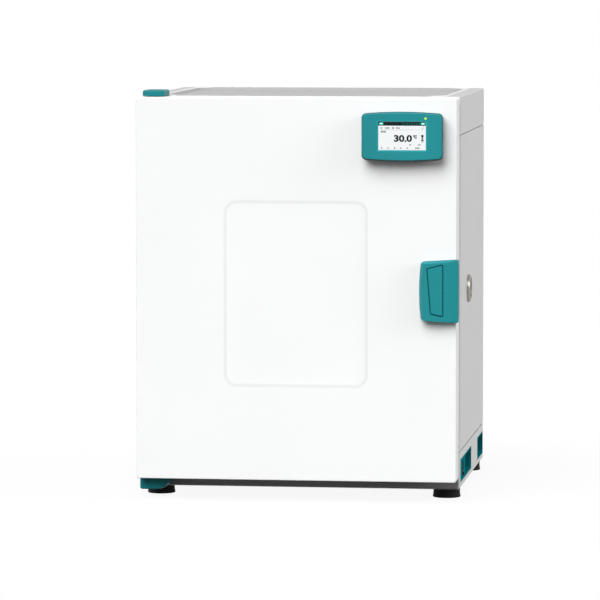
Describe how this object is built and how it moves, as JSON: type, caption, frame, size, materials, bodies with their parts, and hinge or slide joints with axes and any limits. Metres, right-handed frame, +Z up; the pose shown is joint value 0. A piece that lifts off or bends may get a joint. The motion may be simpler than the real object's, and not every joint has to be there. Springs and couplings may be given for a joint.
{
  "type": "microbiological incubator",
  "caption": "Microbiological incubator with a solid outer door, an inner glass door, pull-out shelves, a fan and heater behind a rear baffle, and a stoppered side port",
  "frame": {"origin": "bottom centre of the whole incubator, on the plane that the feet stand on", "axes": "+Z up; the doors face -Y; +X towards the handle and the access port, with the hinges on the -X side"},
  "size_m": [0.636, 0.6578, 0.8041],
  "materials": {
    "door_white": "white powder coat on sheet steel",
    "case_grey": "light grey powder coat on sheet steel",
    "teal_plastic": "teal moulded plastic with a satin surface",
    "black_plastic": "black moulded plastic",
    "display": "glossy display window",
    "rubber": "black rubber",
    "silicone": "grey-white silicone",
    "stainless": "brushed stainless steel",
    "zinc_steel": "zinc-plated steel",
    "glass": "clear tempered glass",
    "foam": "rigid insulating foam",
    "board": "green circuit board",
    "lamp": "small yellow-green lamp"
  },
  "bodies": {
    "cabinet": {"access_port": "stainless", "base_deck": "zinc_steel", "base_pan": "case_grey", "chamber_insulation": "foam", "fan_motor": "zinc_steel", "front_frame": "case_grey", "front_left_foot": "rubber", "front_right_foot": "rubber", "glass_lower_bracket": "stainless", "glass_seal": "silicone", "glass_upper_bracket": "stainless", "inner_chamber": "stainless", "latch_keeper": "zinc_steel", "left_front_grip": "teal_plastic", "left_rear_grip": "teal_plastic", "left_shelf_rack": "stainless", "left_side_panel": "case_grey", "lower_hinge_bracket": "zinc_steel", "lower_hinge_cap": "teal_plastic", "lower_hinge_pin": "zinc_steel", "power_inlet": "black_plastic", "power_supply": "black_plastic", "rear_baffle": "stainless", "rear_left_foot": "rubber", "rear_panel": "case_grey", "rear_right_foot": "rubber", "right_front_grip": "teal_plastic", "right_rear_grip": "teal_plastic", "right_shelf_rack": "stainless", "right_side_panel": "case_grey", "ring_heater": "stainless", "temperature_sensor": "stainless", "top_cover": "case_grey", "upper_hinge_bracket": "zinc_steel", "upper_hinge_cap": "teal_plastic", "upper_hinge_pin": "zinc_steel"},
    "outer_door": {"control_board": "board", "control_housing": "teal_plastic", "control_housing_back": "black_plastic", "display_screen": "display", "door_gasket": "rubber", "door_insulation": "foam", "door_liner": "door_white", "door_skin": "door_white", "handle_housing": "teal_plastic", "latch_case": "zinc_steel", "paddle_pin": "zinc_steel", "paddle_spring": "zinc_steel", "status_lamp": "lamp"},
    "inner_door": {"glass_knob": "black_plastic", "glass_lower_hinge": "stainless", "glass_pane": "glass", "glass_upper_hinge": "stainless"},
    "paddle": {"latch_paddle": "teal_plastic"},
    "hook": {"latch_hook": "zinc_steel"},
    "upper_shelf_tray": {"upper_shelf": "stainless"},
    "lower_shelf_tray": {"lower_shelf": "stainless"},
    "stopper": {"port_plug": "silicone"},
    "rocker": {"power_switch": "black_plastic"},
    "fan": {"fan_wheel": "zinc_steel"}
  },
  "joints": [
    {"name": "outer_door_hinge", "type": "hinge", "parent": "cabinet", "child": "outer_door", "pos_m": [-0.301, -0.25888, 0.417], "axis": [0, 0, -1], "range_deg": [0, 120]},
    {"name": "inner_door_hinge", "type": "hinge", "parent": "cabinet", "child": "inner_door", "pos_m": [-0.262, -0.21438, 0.40515], "axis": [0, 0, -1], "range_deg": [0, 93.6]},
    {"name": "upper_shelf_slide", "type": "slide", "parent": "cabinet", "child": "upper_shelf_tray", "axis": [0, -1, 0], "range_m": [0, 0.08]},
    {"name": "lower_shelf_slide", "type": "slide", "parent": "cabinet", "child": "lower_shelf_tray", "axis": [0, -1, 0], "range_m": [0, 0.08]},
    {"name": "paddle_press", "type": "hinge", "parent": "outer_door", "child": "paddle", "pos_m": [0.285, -0.31288, 0.4179], "axis": [0, 0, -1], "range_deg": [0, 10], "stiffness_Nm_per_rad": 0.08, "springref_deg": -17.19},
    {"name": "hook_turn", "type": "hinge", "parent": "outer_door", "child": "hook", "pos_m": [0.291, -0.25388, 0.4179], "axis": [0, 0, 1], "range_deg": [0, 10]},
    {"name": "stopper_pull", "type": "slide", "parent": "cabinet", "child": "stopper", "axis": [1, 0, 0], "range_m": [0, 0.045]},
    {"name": "switch_rock", "type": "hinge", "parent": "cabinet", "child": "rocker", "pos_m": [0.306, -0.14288, 0.0535], "axis": [0, 1, 0], "range_deg": [0, 16]},
    {"name": "fan_spin", "type": "hinge", "parent": "cabinet", "child": "fan", "pos_m": [-0.003, 0.22593, 0.40515], "axis": [0, -1, 0], "continuous": true}
  ],
  "couplings": [
    {"joint": "inner_door_hinge", "follows": "outer_door_hinge", "ratio": 0.78},
    {"joint": "upper_shelf_slide", "follows": "outer_door_hinge", "m_per_rad": 0.038},
    {"joint": "lower_shelf_slide", "follows": "outer_door_hinge", "m_per_rad": 0.038},
    {"joint": "hook_turn", "follows": "paddle_press", "ratio": 1}
  ]
}
